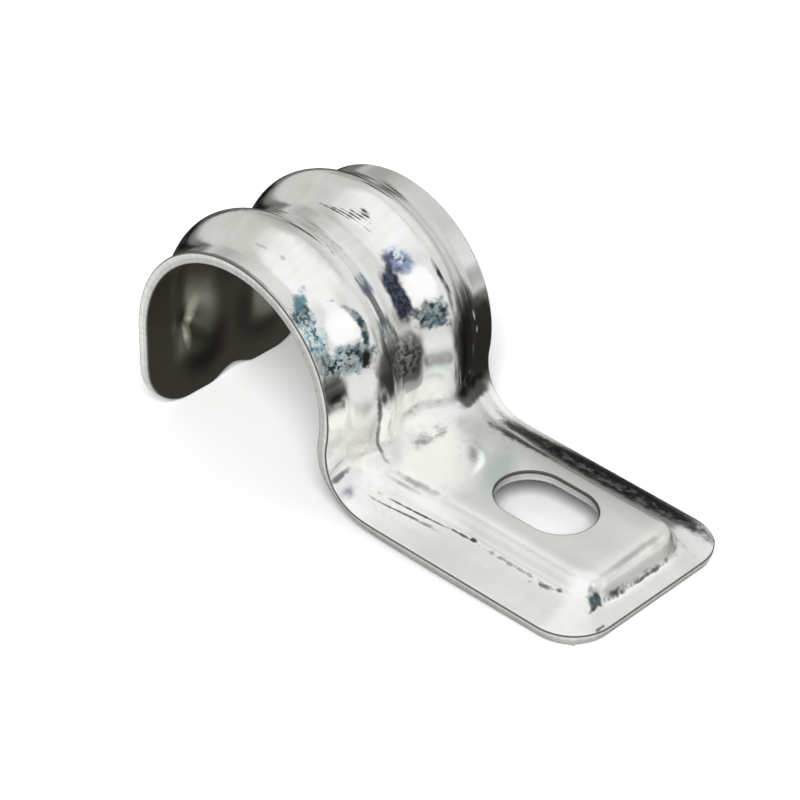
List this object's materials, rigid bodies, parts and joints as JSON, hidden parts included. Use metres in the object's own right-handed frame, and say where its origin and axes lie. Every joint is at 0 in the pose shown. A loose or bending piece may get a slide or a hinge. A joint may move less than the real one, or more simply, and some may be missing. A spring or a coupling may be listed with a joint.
{
  "type": "conduit strap",
  "caption": "One-hole conduit strap pressed from zinc-plated sheet: a half round arch with ribs pressed along it and a foot raised into a flat plateau with a screw slot.",
  "frame": {"origin": "centre of the strap's overall box in X and Y, on the wall plane that it lies on", "axes": "+X from the arch along the foot to its tip, +Y along the conduit, +Z away from the wall"},
  "size_m": [0.0454, 0.0182, 0.0195],
  "materials": {
    "zinc_plated_steel": "bright zinc plating, smooth and mirror-like with fine speckle and scratches"
  },
  "bodies": {
    "root": {"strap": "zinc_plated_steel"}
  },
  "joints": []
}
